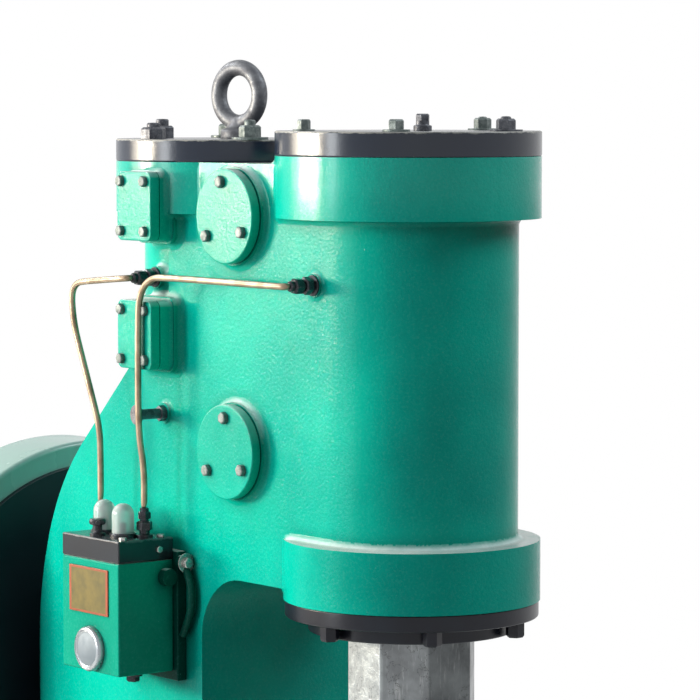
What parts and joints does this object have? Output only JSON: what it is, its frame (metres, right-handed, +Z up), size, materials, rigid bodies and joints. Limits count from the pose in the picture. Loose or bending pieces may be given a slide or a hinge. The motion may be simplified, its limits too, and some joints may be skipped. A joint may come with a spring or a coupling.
{
  "type": "pneumatic forging hammer",
  "caption": "Single-frame air forging hammer with a sliding ram, flat dies, oil pump, treadle and belt drive.",
  "frame": {"origin": "on the floor, under the ram's vertical axis", "axes": "+Z up, -Y to the front where the smith stands, -X to the side that carries the oil pump"},
  "size_m": [0.592, 1.479, 1.668],
  "materials": {
    "sea_green_enamel": "gloss",
    "black_cover_paint": "gloss",
    "galvanised_steel": "matte",
    "ground_ram_steel": "satin",
    "forged_die_steel": "satin",
    "black_fitting_steel": "satin",
    "treadle_paint": "satin",
    "bare_pin_steel": "satin",
    "clear_dome_plastic": "gloss",
    "chromed_window_rim": "gloss",
    "brass_plate": "satin",
    "copper_oil_pipe": "satin",
    "guard_paint": "gloss",
    "motor_paint": "satin"
  },
  "bodies": {
    "frame": {"frame": "sea_green_enamel", "ram_cylinder_cover": "black_cover_paint", "compressor_cover": "black_cover_paint", "lifting_eye": "galvanised_steel", "gland_ring": "black_cover_paint", "anvil_block": "sea_green_enamel", "lower_die": "forged_die_steel", "lower_die_wedge": "forged_die_steel", "upper_valve_cover": "sea_green_enamel", "lower_valve_cover": "sea_green_enamel", "upper_port_cap": "sea_green_enamel", "lower_port_cap": "sea_green_enamel", "upper_valve_bonnet": "sea_green_enamel", "lower_valve_bonnet": "sea_green_enamel", "upper_valve_handle": "black_fitting_steel", "lower_valve_lever": "black_fitting_steel", "link_rod": "black_fitting_steel", "treadle": "treadle_paint", "treadle_pins": "bare_pin_steel", "lubricator_body": "sea_green_enamel", "lubricator_lid": "black_cover_paint", "lubricator_sight_domes": "clear_dome_plastic", "lubricator_window": "chromed_window_rim", "lubricator_plate": "brass_plate", "lubricator_filler": "black_fitting_steel", "lubricator_unions": "black_fitting_steel", "lubricator_bracket": "sea_green_enamel", "lubricator_crank": "black_fitting_steel", "front_oil_pipe": "copper_oil_pipe", "rear_oil_pipe": "copper_oil_pipe", "wall_unions": "black_fitting_steel", "pipe_support": "black_fitting_steel", "left_crankcase_door": "sea_green_enamel", "right_crankcase_door": "sea_green_enamel", "rear_bearing_housing": "sea_green_enamel", "guard_stays": "bare_pin_steel", "belt_guard": "guard_paint", "motor_bed": "guard_paint", "motor_body": "motor_paint", "motor_cowl": "motor_paint", "motor_terminal_box": "motor_paint"},
    "ram": {"ram": "ground_ram_steel", "upper_die": "forged_die_steel", "upper_die_wedge": "forged_die_steel"}
  },
  "joints": [
    {"name": "ram_slide", "type": "slide", "parent": "frame", "child": "ram", "axis": [0, 0, 1], "range_m": [0, 0.245]}
  ]
}
